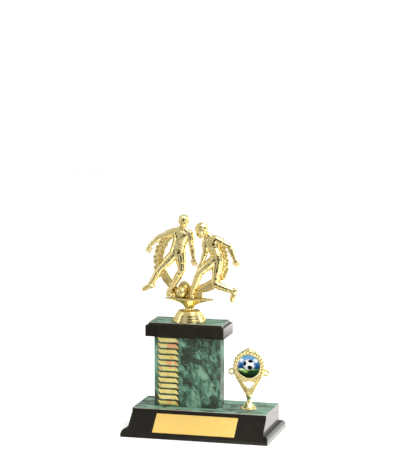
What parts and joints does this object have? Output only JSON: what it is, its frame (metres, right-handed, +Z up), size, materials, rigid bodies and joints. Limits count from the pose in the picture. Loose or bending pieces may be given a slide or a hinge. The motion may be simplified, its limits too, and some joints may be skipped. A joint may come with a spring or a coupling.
{
  "type": "figure trophy",
  "caption": "Figure trophy with a sloping base, a marble-effect column and cap, gilt footballers in front of a wreath, and a small round disc holder.",
  "frame": {"origin": "centre of the base's rectangular footprint, on the surface that the trophy stands on", "axes": "+Z up, -Y towards the front with the engraving plate, +X to the right as seen from the front"},
  "size_m": [0.165, 0.091, 0.24],
  "materials": {
    "black_styrene": "high-gloss moulded",
    "marble_laminate": "glossy green marble print under clear film",
    "adhesive_tape": "soft foam tape",
    "plate_gold": "satin gold anodised with bright bevelled edges",
    "tube_styrene": "matt extruded",
    "hologram_foil": "gold diffraction foil",
    "zinc_steel": "bright zinc",
    "ballast_steel": "black painted mill steel",
    "gold_plated_plastic": "vacuum-metallised pale gold, mirror bright",
    "printed_disc": "colour-printed",
    "clear_resin": "clear domed resin"
  },
  "bodies": {
    "trophy": {"base_moulding": "black_styrene", "deck_panel": "marble_laminate", "plate_tape": "adhesive_tape", "engraving_plate": "plate_gold", "column_tube": "tube_styrene", "column_film": "marble_laminate", "foil_bars": "hologram_foil", "lower_plug": "tube_styrene", "upper_plug": "tube_styrene", "cap_moulding": "black_styrene", "cap_panel": "marble_laminate", "tie_rod": "zinc_steel", "ballast_plate": "ballast_steel", "rod_washer": "zinc_steel", "rod_nut": "zinc_steel", "holder_washer": "zinc_steel"},
    "figure": {"figure_riser": "gold_plated_plastic", "figure_nut": "zinc_steel", "figure_stage": "gold_plated_plastic", "match_ball": "gold_plated_plastic", "player_front": "gold_plated_plastic", "player_side": "gold_plated_plastic", "wreath_left": "gold_plated_plastic", "wreath_right": "gold_plated_plastic", "wreath_tie": "gold_plated_plastic"},
    "holder": {"holder_foot": "gold_plated_plastic", "holder_frame": "gold_plated_plastic", "centre_disc": "printed_disc", "disc_dome": "clear_resin", "holder_screw": "zinc_steel"}
  },
  "joints": [
    {"name": "figure_turn", "type": "hinge", "parent": "trophy", "child": "figure", "pos_m": [-0.019, 0.0092, 0.122], "axis": [0, 0, 1], "continuous": true},
    {"name": "holder_turn", "type": "hinge", "parent": "trophy", "child": "holder", "pos_m": [0.0493, 0.007, 0.028], "axis": [0, 0, 1], "continuous": true}
  ]
}
